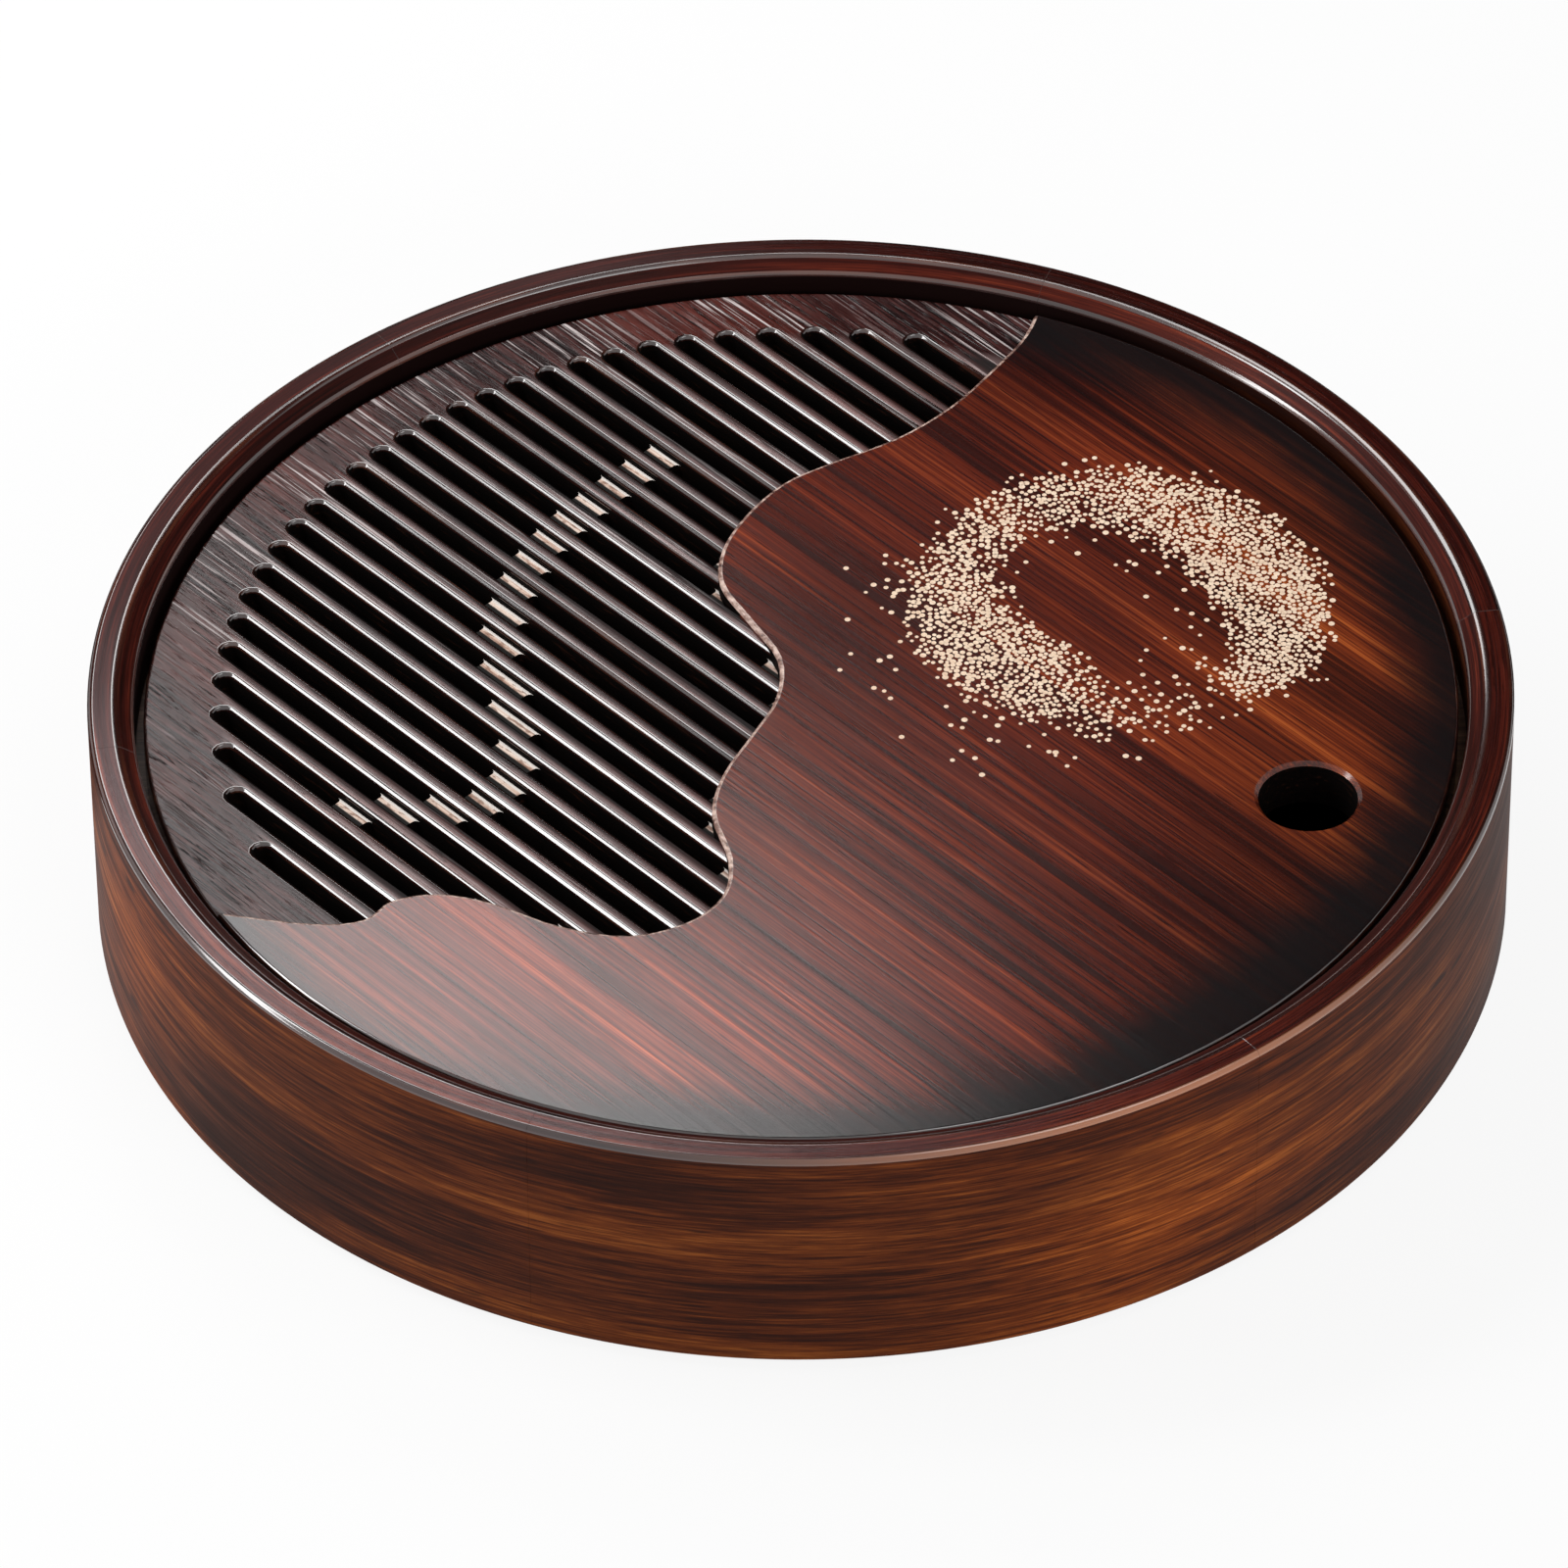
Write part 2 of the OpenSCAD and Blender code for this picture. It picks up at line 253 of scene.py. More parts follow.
def ring_material():
    """Sides of the ring: streaks along each segment, with dark knots, painted pools of light at the
    front, and darker towards the bottom at the front right.
    """
    t = Tree("ring_bamboo")
    grain = t.attribute("grain").outputs["Vector"]
    colour, streak, fibre = stained(t, grain, SIDE_TONES, run=0.5)
    place = t.position()
    x, y, z = t.separate(place)
    cloud = t.noise(grain, (0.012, 0.02, 0.035), (3, 1, 7), detail=3)
    colour = t.mix(t.remap(cloud, 0.5, 0.7, 0.0, 0.55), colour, (0.018, 0.0045, 0.0025))
    knot = t.noise(grain, (0.06, 0.02, 0.3), (9, 4, 2), detail=2)
    colour = t.mix(t.remap(knot, 0.66, 0.76, 0.0, 0.75, smooth=True), colour, (0.01, 0.003, 0.002))
    # Painted light: outside two pools at the front right and front left the side is darkened, and
    # the front right pool is brightened further; in part a lighter tone of the wood there
    painted_light_pools = t.math("MAXIMUM", spot(t, place, (84, -112), 88), spot(t, place, (-128, -57), 40))
    colour = t.mix(t.remap(painted_light_pools, 0, 1, 0.45, 0.0), colour, (0.016, 0.004, 0.002))
    colour = t.mix(spot(t, place, (70, -121), 60), colour, (1.2, 1.15, 1.05), "MULTIPLY")
    low = t.math("MULTIPLY", t.remap(z, 26, 5, smooth=True), t.remap(x, 55, 95, smooth=True))
    colour = t.mix(t.math("MULTIPLY", low, 0.6), colour, (0.012, 0.003, 0.002))
    # Painted shade on the inner wall of the ring, by the gap round the panel, weaker towards the
    # right
    inside = t.math("MULTIPLY", t.remap(radius_mm(t, place), 135, 133),
                    t.remap(x, 60, 115, 1.0, 0.15, smooth=True))
    colour = t.mix(inside, colour, (0.006, 0.002, 0.0018))
    height = t.math("ADD", t.math("MULTIPLY", streak, 0.6), t.math("MULTIPLY", fibre, 0.4))
    return t.surface(
        colour, t.remap(streak, 0.3, 0.7, 0.6, 0.5), t.bump(height, 0.0001, 0.5),
        **{"Specular IOR Level": 0.08})


def bevel_material():
    """Inner bevel of the ring, duller than the flat top."""
    t = Tree("bevel_bamboo")
    grain = t.attribute("grain").outputs["Vector"]
    colour, streak, fibre = stained(t, grain, RIM_TONES, (1, 6, 4))
    return t.surface(
        colour, t.remap(streak, 0.3, 0.7, 0.4, 0.3), t.bump(fibre, 0.0001, 0.4),
        **{"Specular IOR Level": 0.06})


def rim_material():
    """Flat top of the ring, dark and polished."""
    t = Tree("rim_bamboo")
    grain = t.attribute("grain").outputs["Vector"]
    colour, streak, fibre = stained(t, grain, RIM_TONES, (5, 2, 9))
    ripple = t.noise(grain, (0.03, 0.16, 0.2), (2, 6, 3), detail=2)
    height = t.math("ADD", t.math("MULTIPLY", ripple, 3.0), fibre)
    polish = t.remap(streak, 0.3, 0.7, 0.24, 0.17)
    dull = t.math("MULTIPLY", spot(t, t.position(), (-110, 90), 150), 0.55)
    return t.surface(
        colour, t.math("ADD", polish, dull), t.bump(height, 0.0001, 0.5),
        **{"Specular IOR Level": 0.34, "Specular Tint": (1, 0.76, 0.78, 1)})


def arris_material():
    """Rounded arrises, where the lacquer is rubbed thin and shines."""
    t = Tree("arris_bamboo")
    grain = t.position(GRAIN_TURN)
    wear = t.noise(grain, (0.05, 0.3, 0.3), detail=4, rough=0.6)
    colour = t.ramp(t.remap(wear, 0.35, 0.7), ARRIS_TONES)
    return t.surface(
        colour, t.remap(wear, 0.3, 0.7, 0.16, 0.1), t.bump(wear, 0.00005, 0.15),
        **{"Specular IOR Level": 0.8, "Coat Weight": 1.0, "Coat Roughness": 0.1})


def rim_edge_material():
    """Outer and inner arris of the ring's top, with rubbed wear, and a painted highlight in orange
    on the outer arris at the front right.
    """
    t = Tree("rim_edge_bamboo")
    grain = t.attribute("grain").outputs["Vector"]
    wear = t.noise(grain, (0.02, 0.5, 0.6), (3, 7, 1), detail=4, rough=0.6)
    colour = t.ramp(t.remap(wear, 0.35, 0.65), (
        (0.0, (0.012, 0.003, 0.0025)), (0.5, (0.03, 0.007, 0.005)), (1.0, (0.09, 0.024, 0.012))))
    place = t.position()
    # Painted highlight: an orange line along the outer arris at the front right, where a lamp's
    # glint would fall
    painted_glint_line = t.math("MULTIPLY", spot(t, place, (70, -125), 110),
                  t.remap(radius_mm(t, place), 138.9, 139.4))
    colour = t.mix(painted_glint_line, colour, (0.34, 0.11, 0.035))
    return t.surface(
        colour, t.remap(wear, 0.3, 0.7, 0.2, 0.14), t.bump(wear, 0.00005, 0.15),
        **{"Specular IOR Level": 0.7, "Coat Weight": 1.0, "Coat Roughness": 0.1})


def worn_material():
    """The wavy edge, where the stain is knocked off in chips."""
    t = Tree("worn_bamboo")
    grain = t.position(GRAIN_TURN)
    chip = t.noise(grain, (0.35, 0.7, 0.5), (6, 1, 4), detail=5, rough=0.7)
    colour = t.ramp(t.remap(chip, 0.36, 0.62), (
        (0.0, (0.05, 0.018, 0.013)), (0.35, (0.24, 0.13, 0.1)), (1.0, (0.62, 0.46, 0.39))))
    return t.surface(colour, 0.32, t.bump(chip, 0.0002, 0.4), **{"Specular IOR Level": 0.7})


def panel_material():
    """Uncut area of the drip panel: satin stain with a black edge."""
    t = Tree("panel_bamboo")
    grain = t.position(GRAIN_TURN)
    place = t.position()
    colour, streak, fibre = stained(t, grain, PANEL_TONES, run=2.4)
    x, y, z = t.separate(place)

    # Redder and lighter towards the front, more orange to the right, dark by the wave
    front = t.math("MAXIMUM", spot(t, place, (-12, -98), 62), spot(t, place, (-62, -80), 50))
    colour = t.mix(t.math("MULTIPLY", front, 0.75), colour, (1.9, 1.7, 1.6), "MULTIPLY")
    orange = t.remap(x, 55, 105, 0.0, 1.0, smooth=True)
    colour = t.mix(orange, colour, (1.1, 1.3, 1.0), "MULTIPLY")
    colour = t.mix(spot(t, place, (84, -66), 60), colour, (0.4, 0.42, 0.6), "MULTIPLY")
    colour = t.mix(spot(t, place, (48, 104), 45), colour, (0.4, 0.4, 0.5), "MULTIPLY")
    dark = spot(t, place, (4, 16), 42)
    colour = t.mix(t.math("MULTIPLY", dark, 0.6), colour, (0.02, 0.005, 0.005))
    cloud = t.noise(grain, (0.009, 0.025, 0.02), (4, 9, 1), detail=3)
    colour = t.mix(t.remap(cloud, 0.52, 0.68, 0.0, 0.4), colour, (0.03, 0.006, 0.005))

    # A black band that was sprayed round the edge, broader at the front right, narrow at the left
    wander = t.noise(grain, (0.03, 0.12, 0.05), (7, 2, 5), detail=5, rough=0.65)
    broad = t.math("MULTIPLY", spot(t, place, (88, -88), 70), 6)
    broad = t.math("SUBTRACT", broad, t.math("MULTIPLY", spot(t, place, (-75, -100), 75), 9))
    reach = t.math("ADD", radius_mm(t, place), t.math("MULTIPLY", wander, 16))
    near_edge = t.remap(t.math("ADD", reach, broad), 116, 134, 0.0, 0.95, smooth=True)
    colour = t.mix(near_edge, colour, (0.006, 0.005, 0.0055))

    height = t.math("ADD", t.math("MULTIPLY", streak, 0.4), t.math("MULTIPLY", fibre, 0.6))
    return t.surface(colour, t.remap(fibre, 0.3, 0.7, 0.21, 0.16), t.bump(height, 0.0001, 0.3),
                     **{"Specular IOR Level": 0.5})


def carved_material():
    """Carved area of the drip panel: brushed open pores, dark red to grey, with painted shade and a
    painted sheen across the slats.
    """
    t = Tree("carved_bamboo")
    grain = t.position(GRAIN_TURN)
    brushed = t.noise(grain, (0.05, 1.2, 0.3), (2, 5, 3), detail=4, rough=0.65)
    pores = t.noise(grain, (0.035, 1.3, 0.3), (8, 3, 6), detail=2, rough=0.5)
    ticks = t.noise(grain, (0.1, 1.6, 0.3), (1, 7, 4), detail=2, rough=0.5)
    patches = t.noise(grain, (0.02, 0.06, 0.05), (1, 8, 2), detail=2)
    cloud = t.noise(grain, (0.008, 0.022, 0.02), (4, 9, 1), detail=2)
    colour = t.ramp(t.remap(brushed, 0.3, 0.7), (
        (0.0, (0.004, 0.0015, 0.0015)), (0.35, (0.016, 0.0045, 0.0045)), (0.6, (0.04, 0.012, 0.011)),
        (1.0, (0.1, 0.036, 0.033))))
    red = t.math("MULTIPLY", t.remap(cloud, 0.45, 0.6, 0.0, 0.5), brushed)
    colour = t.mix(red, colour, (0.2, 0.034, 0.02))
    back = t.remap(t.separate(t.position())[1], -20, 70, 0.2, 1.0)
    line = t.math("MULTIPLY", t.remap(pores, 0.58, 0.66), t.remap(patches, 0.4, 0.6, 0.15, 1.0))
    colour = t.mix(t.math("MULTIPLY", line, back), colour, (0.62, 0.54, 0.53))
    tick = t.remap(ticks, 0.62, 0.68)
    colour = t.mix(t.math("MULTIPLY", tick, 0.85), colour, (0.003, 0.002, 0.002))

    # Painted shade and sheen on the slats: a pale painted sheen by each near edge, and painted shade
    # that darkens each slat, and makes it rougher, towards its far edge
    away = t.stretch(grain, (1, 1, 0), (-SLOT_CENTRE[0], -SLOT_CENTRE[1], 0))
    field = t.node("ShaderNodeVectorMath", {"Vector": away}, operation="LENGTH").outputs["Value"]
    inside = t.remap(field, SLOT_FIELD_R + 1, SLOT_FIELD_R - 2)
    shade = t.remap(slot_phase(t, grain), 0.4, 0.68, 0.0, 0.9, smooth=True)
    shade = t.math("MULTIPLY", inside, shade)
    pale = t.math("MULTIPLY", inside, t.remap(slot_phase(t, grain), 0.4, 0.58, 0.7, 0.0))
    colour = t.mix(t.math("MULTIPLY", pale, brushed), colour, (0.5, 0.36, 0.35))
    colour = t.mix(shade, colour, (0.003, 0.002, 0.002))

    height = t.math("SUBTRACT", t.math("MULTIPLY", brushed, 0.1), t.math("MULTIPLY", line, 0.3))
    height = t.math("SUBTRACT", height, t.math("MULTIPLY", tick, 0.25))
    roughness = t.math("MAXIMUM", t.remap(shade, 0, 1, 0.22, 0.7), t.math("MULTIPLY", line, 0.4))
    return t.surface(colour, roughness, t.bump(height, 0.0009, 0.8), **{"Specular IOR Level": 0.25})


def raw_material():
    """Raw pale bamboo at the bottom of the shallow cuts, with a painted highlight and a painted
    shadow across each bar.
    """
    t = Tree("raw_bamboo")
    grain = t.position(GRAIN_TURN)
    stripe = t.noise(grain, (0.05, 1.6, 0.5), detail=3)
    blotch = t.noise(grain, (0.5, 1.2, 0.5), (5, 1, 2), detail=3)
    colour = t.ramp(t.remap(stripe, 0.35, 0.65), (
        (0.0, (0.4, 0.24, 0.18)), (0.35, (0.7, 0.5, 0.4)), (1.0, (0.9, 0.76, 0.66))))
    colour = t.mix(t.remap(blotch, 0.5, 0.62, 0.0, 0.75), colour, (0.2, 0.09, 0.055))
    phase = slot_phase(t, grain)
    # Painted highlight along the far edge of each bar, and painted shadow of the slat in front over
    # its near half
    colour = t.mix(t.remap(phase, 0.17, 0.2), colour, (0.95, 0.88, 0.82))
    colour = t.mix(t.remap(phase, 0.02, 0.06, 1.0, 0.0), colour, (0.004, 0.003, 0.002))
    colour = t.mix(t.remap(phase, 0.5, 0.52), colour, (0.004, 0.003, 0.002))
    return t.surface(colour, 0.7, t.bump(stripe, 0.0002, 0.5), **{"Specular IOR Level": 0.25})


def painted_shade_material():
    """Painted shade: near-black, mottled walls inside the slots and on the slats' arrises that lean
    away from the front.
    """
    t = Tree("painted_shade_bamboo")
    grain = t.position(GRAIN_TURN)
    shade_mottle = t.noise(grain, (0.15, 0.8, 1.2), detail=4)
    colour = t.ramp(t.remap(shade_mottle, 0.3, 0.75), (
        (0.0, (0.001, 0.0008, 0.0008)), (0.7, (0.003, 0.0015, 0.0012)), (1.0, (0.02, 0.007, 0.004))))
    return t.surface(colour, t.remap(shade_mottle, 0.3, 0.7, 0.85, 0.7), t.bump(shade_mottle, 0.0002, 0.6),
                     **{"Specular IOR Level": 0.05})


def board_material():
    """Base board: pressed bamboo in strips, with less stain."""
    t = Tree("base_bamboo")
    grain = t.position(0)
    colour, streak, fibre = stained(t, grain, BOARD_TONES, (4, 8, 2))
    x, y, z = t.separate(grain)
    strip_w = 20.0
    across = t.math("DIVIDE", y, strip_w)
    edge = t.math("PINGPONG", across, 0.5)
    seam = t.remap(edge, 0.0, 0.012, 0.55, 0.0)
    tone = t.node("ShaderNodeTexWhiteNoise", {"W": t.math("FLOOR", across)}, noise_dimensions="1D")
    colour = t.mix(t.remap(tone.outputs["Value"], 0, 1, 0.0, 0.3), colour, (0.06, 0.024, 0.013))
    colour = t.mix(seam, colour, (0.02, 0.009, 0.006))
    return t.surface(colour, t.remap(streak, 0.3, 0.7, 0.55, 0.42), t.bump(fibre, 0.0001, 0.6))


def dowel_material():
    t = Tree("dowel_wood")
    grain = t.position(0)
    line = t.noise(grain, (0.8, 0.8, 0.8), detail=4)
    colour = t.ramp(line, ((0.3, (0.45, 0.29, 0.16)), (0.7, (0.7, 0.52, 0.33))))
    return t.surface(colour, 0.7, t.bump(line, 0.0001, 0.5))


def plastic_material():
    """Black moulded plastic with a faint orange peel and fine scuffs."""
    t = Tree("tray_plastic")
    place = t.position()
    peel = t.noise(place, (0.9, 0.9, 0.9), detail=2)
    scuff = t.noise(place, (0.12, 2.2, 2.2), (3, 3, 3), detail=4)
    colour = t.ramp(scuff, ((0.4, (0.008, 0.008, 0.009)), (0.75, (0.02, 0.02, 0.022))))
    return t.surface(colour, t.remap(scuff, 0.35, 0.7, 0.2, 0.38), t.bump(peel, 0.00005, 0.4))


def rubber_material():
    t = Tree("pad_rubber")
    place = t.position()
    speck = t.noise(place, (3, 3, 3), detail=4)
    colour = t.ramp(speck, ((0.3, (0.012, 0.012, 0.013)), (0.75, (0.035, 0.035, 0.036))))
    return t.surface(colour, t.remap(speck, 0.3, 0.7, 0.75, 0.6), t.bump(speck, 0.0001, 0.7))


def steel_material():
    t = Tree("screw_steel")
    place = t.position()
    scratch = t.noise(place, (4, 0.5, 4), detail=4)
    colour = t.ramp(scratch, ((0.3, (0.42, 0.41, 0.39)), (0.7, (0.66, 0.65, 0.62))))
    return t.surface(colour, t.remap(scratch, 0.3, 0.7, 0.42, 0.26),
                     t.bump(scratch, 0.00003, 0.5), Metallic=1.0)


def ink_material():
    """Cream stipple of the print."""
    t = Tree("print_cream")
    place = t.position(GRAIN_TURN)
    mottle = t.noise(place, (0.5, 2.0, 1.0), detail=3)
    colour = t.ramp(mottle, ((0.3, (0.74, 0.52, 0.36)), (0.7, (0.9, 0.72, 0.55))))
    return t.surface(colour, t.remap(mottle, 0.3, 0.7, 0.6, 0.45), t.bump(mottle, 0.0001, 0.4))


# Meshes

def piece(name, bm, materials, body, smooth_deg=35):
    """A mesh object with its materials, shaded smooth up to an angle, on a body."""
    mesh = bpy.data.meshes.new(name)
    bm.to_mesh(mesh)
    bm.free()
    mesh.shade_smooth()
    mesh.set_sharp_from_angle(angle=math.radians(smooth_deg))
    for material in materials:
        mesh.materials.append(material)
    thing = bpy.data.objects.new(name, mesh)
    bpy.context.scene.collection.objects.link(thing)
    weighted = thing.modifiers.new("even_shading", "WEIGHTED_NORMAL")
    weighted.keep_sharp = True
    weighted.weight = 100
    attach(thing, body)
    return thing


def rounded(corners, steps=7):
    """Points of a closed outline whose corners, as (x, y, radius), are rounded."""
    points = []
    for i, (x, y, r) in enumerate(corners):
        here = Vector((x, y))
        if r == 0:
            points.append(here)
            continue
        back = (Vector(corners[i - 1][:2]) - here).normalized()
        ahead = (Vector(corners[(i + 1) % len(corners)][:2]) - here).normalized()
        half = back.angle(ahead) / 2
        reach = r / math.tan(half)
        centre = here + (back + ahead).normalized() * r / math.sin(half)
        start = here + back * reach - centre
        end = here + ahead * reach - centre
        turn = start.angle_signed(end)
        for k in range(steps + 1):
            points.append(centre + Matrix.Rotation(-turn * k / steps, 2) @ start)
    return points


def inset(points, distance):
    """The outline drawn in by a small distance."""
    area = sum(a.cross(b) for a, b in zip(points, points[1:] + points[:1]))
    side = 1 if area > 0 else -1
    out = []
    for i, p in enumerate(points):
        d = points[(i + 1) % len(points)] - points[i - 1]
        out.append(p + Vector((-d.y, d.x)).normalized() * distance * side)
    return out


# Ring

SEGMENTS = 6
JOINT_TURN = 8
WALL_R = 131 * MM
BEVEL_W = 3.5 * MM
BEVEL_H = 2.4 * MM
JOINT_GAP = 0.01 * MM
JOINT_EASE = 0.04 * MM
RING_STEP = 1.5

RING_SECTION = rounded([
    (WALL_R, RING_FOOT, 0.3 * MM),
    (RING_R, RING_FOOT, 0.8 * MM),
    (RING_R, RING_TOP, 1.1 * MM),
    (WALL_R + BEVEL_W, RING_TOP, 2.6 * MM),
    (WALL_R, RING_TOP - BEVEL_H, 1.3 * MM),
])


RIM_Z = RING_TOP - 4 * MM
FLAT_TILTS = (0, 90, 180, math.degrees(math.atan(BEVEL_H / BEVEL_W)))
FLAT_SLACK = 1.5


def rim_index(face):
    """0 for the sides of the ring, 1 for its flat top, 2 for the arrises, 3 for the bevel."""
    if face.calc_center_median().z < RIM_Z:
        return 0
    tilt = math.degrees(face.normal.angle(Vector((0, 0, 1))))
    if min(abs(tilt - flat) for flat in FLAT_TILTS) > FLAT_SLACK:
        return 2
    if tilt > 80:
        return 0
    return 3 if tilt > 20 else 1


def ring_segment(i, materials):
    """One arc of the ring, with eased ends that leave a hairline at each joint."""
    start = math.radians(JOINT_TURN + 360 / SEGMENTS * i)
    end = start + math.radians(360 / SEGMENTS)
    gap, ease = JOINT_GAP / RING_R, JOINT_EASE / RING_R
    count = round(360 / SEGMENTS / RING_STEP)
    first, last = start + gap + ease, end - gap - ease
    stations = [(start + gap, inset(RING_SECTION, JOINT_EASE))]
    stations += [(first + (last - first) * k / count, RING_SECTION) for k in range(count + 1)]
    stations += [(end - gap, inset(RING_SECTION, JOINT_EASE))]
    bm = bmesh.new()
    rings = []
    for angle, section in stations:
        rings.append([bm.verts.new((p.x * math.cos(angle), p.x * math.sin(angle), p.y))
                      for p in section])
    n = len(RING_SECTION)
    for a, b in zip(rings, rings[1:]):
        for k in range(n):
            bm.faces.new((a[k], b[k], b[(k + 1) % n], a[(k + 1) % n]))
    bm.faces.new(rings[0])
    bm.faces.new(rings[-1][::-1])
    bmesh.ops.recalc_face_normals(bm, faces=bm.faces)
    for face in bm.faces:
        face.material_index = rim_index(face)
    grain = bm.verts.layers.float_vector.new("grain")
    for v in bm.verts:
        turn = math.atan2(v.co.y, v.co.x) % math.tau
        if turn < start - ease:
            turn += math.tau
        v[grain] = Vector((turn * RING_R, v.co.xy.length, v.co.z)) / MM
    name = f"ring_segment_{i + 1}"
    thing = piece(f"{name}_dressed", bm, materials, BASE_BODY)
    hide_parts(name)


# Drip panel

ARRIS_W = 0.88 * MM
ARRIS_STEPS = 5
FAR_LEAN = 0.2
PANEL_ROUND = 0.8 * MM
SQUARE_DEG = 60
HOLE = (98.5, -31.4)
HOLE_NEAR = 14 * MM
LEVEL_SLACK = 0.05 * MM


def drip_panel(*materials):
    """The panel with its arrises rounded, from a copy of the CAD node's mesh.

    The materials are for its surface, the raw rib, the slot walls and away-facing arrises in painted
    shade, the arrises, the worn edge of the wave and the carved area.
    """
    bm = bmesh.new()
    bm.from_mesh(frame["nodes"]["drip_panel"].data)
    bmesh.ops.remove_doubles(bm, verts=bm.verts, dist=1e-6)
    bmesh.ops.dissolve_limit(bm, angle_limit=math.radians(0.5), verts=bm.verts, edges=bm.edges)
    arrises = []
    for edge in bm.edges:
        level = min(v.co.z for v in edge.verts)
        if level < CARVE_Z - LEVEL_SLACK or len(edge.link_faces) != 2:
            continue
        if edge.is_convex and edge.calc_face_angle(0) > math.radians(SQUARE_DEG):
            arrises.append(edge)
    bmesh.ops.bevel(
        bm, geom=arrises, offset=ARRIS_W, offset_type="OFFSET", segments=ARRIS_STEPS,
        profile=0.5, affect="EDGES", clamp_overlap=False, loop_slide=True, material=3)
    turn = math.radians(GRAIN_TURN)
    across = Vector((-math.sin(turn), math.cos(turn), 0))
    hole = Vector(HOLE) * MM
    for face in bm.faces:
        middle = face.calc_center_median()
        if face.material_index == 3:
            if middle.z < CARVE_Z + LEVEL_SLACK:
                # Arrises at the carved level that lean away from the front take the painted shade
                if face.normal.dot(across) > FAR_LEAN:
                    face.material_index = 2
            elif (middle.xy - hole).length < HOLE_NEAR:
                face.material_index = 0
            elif middle.xy.length < PANEL_R - 2 * ARRIS_W:
                face.material_index = 4
            continue
        if middle.xy.length > PANEL_R - PANEL_ROUND and 0.05 < face.normal.z < 0.98:
            face.material_index = 3
        elif face.normal.z > 0.9 and abs(middle.z - SKIM_Z) < LEVEL_SLACK:
            face.material_index = 1
        elif face.normal.z > 0.9 and abs(middle.z - CARVE_Z) < LEVEL_SLACK:
            face.material_index = 5
        # Walls below the carved level take the painted shade
        elif abs(face.normal.z) < 0.3 and middle.z < CARVE_Z - ARRIS_W / 2 \
                and middle.xy.length < PANEL_R - 5 * MM:
            face.material_index = 2
    thing = piece("drip_panel_dressed", bm, materials, PANEL_BODY)
    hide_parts("drip_panel")


# Print: an open brush ring in dots, which breaks up towards its tail

DOT_GAP = 0.92
DOT_D = (0.75, 1.35)
DOT_PROUD = 0.04 * MM
DOT_SUNK = 0.02 * MM
DOT_SIDES = 8

# The stroke as (x, y, half width, share of dots), in millimetres
STROKE = [
    (88, 2, 2.5, 1.0), (94, 14, 6.0, 1.0), (93, 31, 8.5, 1.0), (84, 48, 9.0, 0.95),
    (68, 59, 7.5, 0.85), (50, 59, 6.0, 0.75), (37, 49, 5.5, 0.7), (31, 34, 6.5, 0.8),
    (34, 18, 8.5, 0.9), (45, 5, 9.0, 0.85), (59, -3, 7.0, 0.6), (72, -6, 4.0, 0.3),
    (83, -4, 2.0, 0.1),
]
STROKE_STEPS = 12
EDGE_BREAK = 2.2
DOT_TRIES = 60000
LOOSE_DOTS = 420
LOOSE_DRIFT = (-11, -7)


def stroke_points():
    """The stroke as a smooth run of (x, y, half width, share)."""
    p = [Vector(q) for q in STROKE]
    p = [2 * p[0] - p[1]] + p + [2 * p[-1] - p[-2]]
    out = []
    for i in range(1, len(p) - 2):
        a, b, c, d = p[i - 1:i + 3]
        for k in range(STROKE_STEPS):
            u = k / STROKE_STEPS
            out.append(0.5 * (2 * b + (c - a) * u + (2 * a - 5 * b + 4 * c - d) * u * u
                              + (3 * b - a - 3 * c + d) * u ** 3))
    return out


def print_dots():
    """Places of the dots: dense in the stroke, with frayed edges and loose ones beside it."""
    rng = random.Random(11)
    stroke = stroke_points()
    placed, cells = [], {}

    def put(x, y):
        key = (int(x // DOT_GAP), int(y // DOT_GAP))
        for i in (-1, 0, 1):
            for j in (-1, 0, 1):
                for q in cells.get((key[0] + i, key[1] + j), ()):
                    if (q[0] - x) ** 2 + (q[1] - y) ** 2 < DOT_GAP ** 2:
                        return
        cells.setdefault(key, []).append((x, y))
        placed.append((x, y))

    for _ in range(DOT_TRIES):
        x, y = rng.uniform(16, 106), rng.uniform(-16, 74)
        near = min(stroke, key=lambda q: (q.x - x) ** 2 + (q.y - y) ** 2)
        away = math.hypot(near.x - x, near.y - y) + rng.gauss(0, EDGE_BREAK)
        if away < near.z and rng.random() < near.w ** 4:
            put(x, y)
    for _ in range(LOOSE_DOTS):
        q = rng.choice(stroke)
        drift = rng.random() ** 2
        put(q.x + LOOSE_DRIFT[0] * drift * 2 + rng.gauss(0, 4), q.y + LOOSE_DRIFT[1] * drift * 2
            + rng.gauss(0, 4))
    return [(x, y, rng.uniform(*DOT_D)) for x, y in placed]


def brush_print(material):
    bm = bmesh.new()
    low, high = PANEL_TOP - DOT_SUNK, PANEL_TOP + DOT_PROUD
    for x, y, d in print_dots():
        rings = []
        for z in (low, high):
            rings.append([bm.verts.new((
                x * MM + d / 2 * MM * math.cos(2 * math.pi * k / DOT_SIDES),
                y * MM + d / 2 * MM * math.sin(2 * math.pi * k / DOT_SIDES), z))
                for k in range(DOT_SIDES)])
        bm.faces.new(rings[0][::-1])
        bm.faces.new(rings[1])
        for k in range(DOT_SIDES):
            j = (k + 1) % DOT_SIDES
            bm.faces.new((rings[0][k], rings[0][j], rings[1][j], rings[1][k]))
    thing = piece("brush_print", bm, [material], PANEL_BODY)


# Everything on the tray

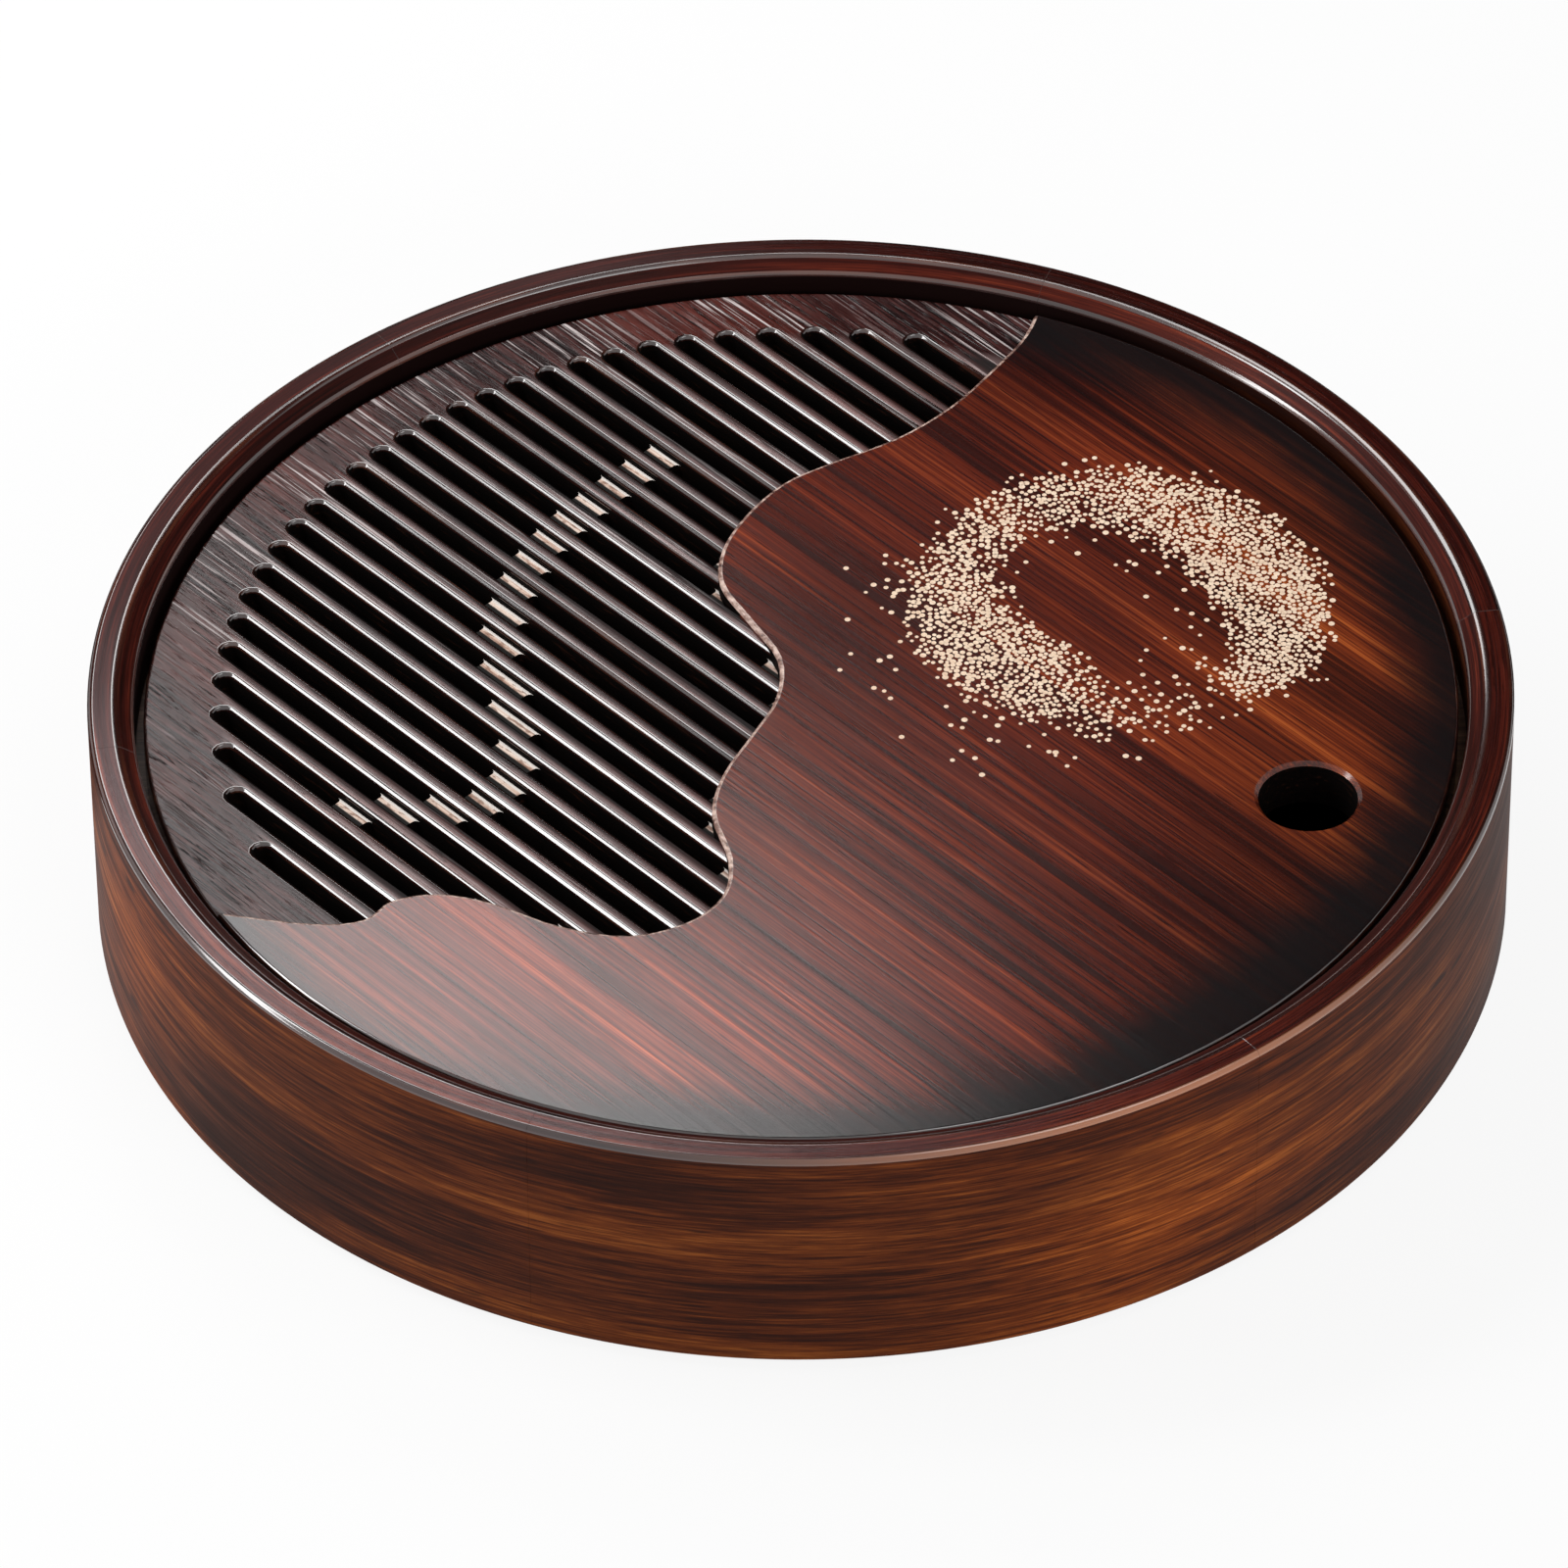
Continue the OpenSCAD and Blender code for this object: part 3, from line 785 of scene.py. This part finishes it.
def dress():
    ring = [ring_material(), rim_material(), rim_edge_material(), bevel_material()]
    for i in range(SEGMENTS):
        ring_segment(i, ring)
    drip_panel(panel_material(), raw_material(), painted_shade_material(), arris_material(),
               worn_material(), carved_material())
    brush_print(ink_material())
    plain = {
        "joint_dowels": dowel_material(),
        "base_board": board_material(),
        "base_screws": steel_material(),
        "water_tray": plastic_material(),
    }
    rubber = rubber_material()
    plain.update({f"ledge_strip_{i + 1}": plain["base_board"] for i in range(SEGMENTS)})
    plain.update({f"foot_pad_{i}": rubber for i in range(1, 5)})
    for name, material in plain.items():
        mesh = frame["nodes"][name].data
        mesh.materials.clear()
        mesh.materials.append(material)


# Camera, floor and light

PHOTO_W = 1600
FOCAL_PX = 12123.0
CAMERA_D = 2.34957
CAMERA_UP_DEG = 40.816
CAMERA_ROLL_DEG = -0.4613
CAMERA_TARGET = Vector((-3.43, 0, 26.24)) * MM
SENSOR_W = 36


def camera():
    tilt = math.radians(CAMERA_UP_DEG)
    roll = math.radians(CAMERA_ROLL_DEG)
    ahead = Vector((0, math.cos(tilt), -math.sin(tilt)))
    right = Vector((1, 0, 0))
    up = right.cross(ahead)
    right, up = (right * math.cos(roll) + up * math.sin(roll),
                 up * math.cos(roll) - right * math.sin(roll))
    place = CAMERA_TARGET - ahead * CAMERA_D
    data = bpy.data.cameras.new("camera")
    data.sensor_width = SENSOR_W
    data.lens = FOCAL_PX / PHOTO_W * SENSOR_W
    data.clip_end = 50
    thing = bpy.data.objects.new("camera", data)
    rows = [(right[k], up[k], -ahead[k], place[k]) for k in range(3)]
    thing.matrix_world = Matrix((*rows, (0, 0, 0, 1)))
    bpy.context.scene.collection.objects.link(thing)
    bpy.context.scene.camera = thing


def seen_rays(t):
    """1 for camera, glossy and transmission rays."""
    path = t.node("ShaderNodeLightPath").outputs
    rays = t.math("MAXIMUM", path["Is Camera Ray"], path["Is Glossy Ray"])
    return t.math("MAXIMUM", rays, path["Is Transmission Ray"])


FLOOR_SIZE = 8.0
FLOOR_GREY = 0.8
FLOOR_KEEP = 0.12
FLOOR_DROP = 0.2 * MM


def floor():
    """A pale floor that keeps a soft shadow, looks white, and is clear from below."""
    bm = bmesh.new()
    bmesh.ops.create_grid(bm, x_segments=1, y_segments=1, size=FLOOR_SIZE / 2)
    mesh = bpy.data.meshes.new("floor")
    bm.to_mesh(mesh)
    bm.free()
    t = Tree("floor_paper")
    paper = t.node("ShaderNodeBsdfDiffuse", {"Color": (FLOOR_GREY,) * 3})
    white = t.node("ShaderNodeEmission", {"Color": (1, 1, 1), "Strength": 1.0})
    share = t.math("MULTIPLY", seen_rays(t), 1 - FLOOR_KEEP)
    both = t.node("ShaderNodeMixShader", {0: share, 1: paper.outputs[0], 2: white.outputs[0]})
    below = t.node("ShaderNodeNewGeometry").outputs["Backfacing"]
    clear = t.node("ShaderNodeBsdfTransparent")
    shown = t.node("ShaderNodeMixShader", {0: below, 1: both.outputs[0], 2: clear.outputs[0]})
    t.node("ShaderNodeOutputMaterial", {"Surface": shown.outputs[0]})
    mesh.materials.append(t.material)
    thing = bpy.data.objects.new("floor", mesh)
    thing.location.z = -FLOOR_DROP
    bpy.context.scene.collection.objects.link(thing)


WORLD_GREY = 0.3


def world():
    scene = bpy.context.scene
    scene.world = bpy.data.worlds.new("studio")
    scene.world.use_nodes = True
    nodes, links = scene.world.node_tree.nodes, scene.world.node_tree.links
    nodes.clear()
    path = nodes.new("ShaderNodeLightPath")
    most = nodes.new("ShaderNodeMath")
    most.operation = "MAXIMUM"
    links.new(path.outputs["Is Camera Ray"], most.inputs[0])
    links.new(path.outputs["Is Glossy Ray"], most.inputs[1])
    every = nodes.new("ShaderNodeMath")
    every.operation = "MAXIMUM"
    links.new(most.outputs[0], every.inputs[0])
    links.new(path.outputs["Is Transmission Ray"], every.inputs[1])
    strength = nodes.new("ShaderNodeMapRange")
    strength.inputs["To Min"].default_value = WORLD_GREY
    links.new(every.outputs[0], strength.inputs["Value"])
    background = nodes.new("ShaderNodeBackground")
    links.new(strength.outputs["Result"], background.inputs["Strength"])
    output = nodes.new("ShaderNodeOutputWorld")
    links.new(background.outputs[0], output.inputs["Surface"])


def softbox(name, place, aim, size, radiance, side=(0, 0, 1), glossy=True):
    """A rectangular light facing a point, its long side along a direction.

    Without glossy it is a fill light that no polished face reflects.
    """
    data = bpy.data.lights.new(name, "AREA")
    data.shape = "RECTANGLE"
    data.size, data.size_y = size
    data.energy = radiance * math.pi * size[0] * size[1]
    thing = bpy.data.objects.new(name, data)
    back = (Vector(place) - Vector(aim)).normalized()
    up = back.cross(Vector(side)).normalized()
    along = up.cross(back)
    rows = [(along[k], up[k], back[k], place[k]) for k in range(3)]
    thing.matrix_world = Matrix((*rows, (0, 0, 0, 1)))
    thing.visible_glossy = glossy
    bpy.context.scene.collection.objects.link(thing)


def card(name, bm, place=(0, 0, 0), aim=(0, 0, -1)):
    """A dark card that shows in reflections alone, facing away from a point."""
    mesh = bpy.data.meshes.new(name)
    bm.to_mesh(mesh)
    bm.free()
    t = Tree(name)
    t.node("ShaderNodeOutputMaterial", {
        "Surface": t.node("ShaderNodeBsdfDiffuse", {"Color": (0.01,) * 3}).outputs[0]})
    mesh.materials.append(t.material)
    thing = bpy.data.objects.new(name, mesh)
    thing.location = place
    thing.rotation_euler = (Vector(place) - Vector(aim)).to_track_quat("Z", "Y").to_euler()
    thing.visible_camera = thing.visible_diffuse = thing.visible_shadow = False
    thing.visible_transmission = False
    bpy.context.scene.collection.objects.link(thing)


def sheet(width, height):
    bm = bmesh.new()
    bmesh.ops.create_grid(bm, x_segments=1, y_segments=1, size=0.5)
    bmesh.ops.scale(bm, vec=(width, height, 1), verts=bm.verts)
    return bm


SECTOR_STEPS = 48


def sector(inner, outer, first_deg, last_deg):
    """A flat ring sector on the floor."""
    bm = bmesh.new()
    rows = []
    for k in range(SECTOR_STEPS + 1):
        angle = math.radians(first_deg + (last_deg - first_deg) * k / SECTOR_STEPS)
        rows.append([bm.verts.new((r * math.cos(angle), r * math.sin(angle), 0))
                     for r in (inner, outer)])
    for a, b in zip(rows, rows[1:]):
        bm.faces.new((a[0], a[1], b[1], b[0]))
    return bm


def lights():
    centre = (0, 0, 0.05)
    softbox("strip", (-0.83, 0.04, 0.6), centre, (1.29, 0.2), 10, side=(0.7, 0.64, 0.87))
    softbox("top", (0.4, -0.1, 1.2), centre, (0.5, 0.4), 3, side=(1, 0, 0))
    softbox("sheen", (-0.166, 0.513, 0.6), (-0.06, -0.08, 0.05), (0.33, 0.24), 5.5,
            side=(-0.65, 0.76, 0))
    softbox("left", (-1.0, 0.8, 0.25), centre, (0.8, 0.4), 8, side=(0.6, 0.8, 0), glossy=False)
    softbox("front", (0.75, -1.35, 0.75), centre, (1.0, 0.6), 8, side=(1, 0.5, 0), glossy=False)
    card("dark_card", sheet(3.4, 2.2), (0.1, 1.5, 1.1), centre)
    card("floor_card", sector(RING_R + MM, 1.2, -158, -8))


camera()
floor()
world()
lights()
dress()
bpy.context.scene.view_settings.view_transform = "Standard"
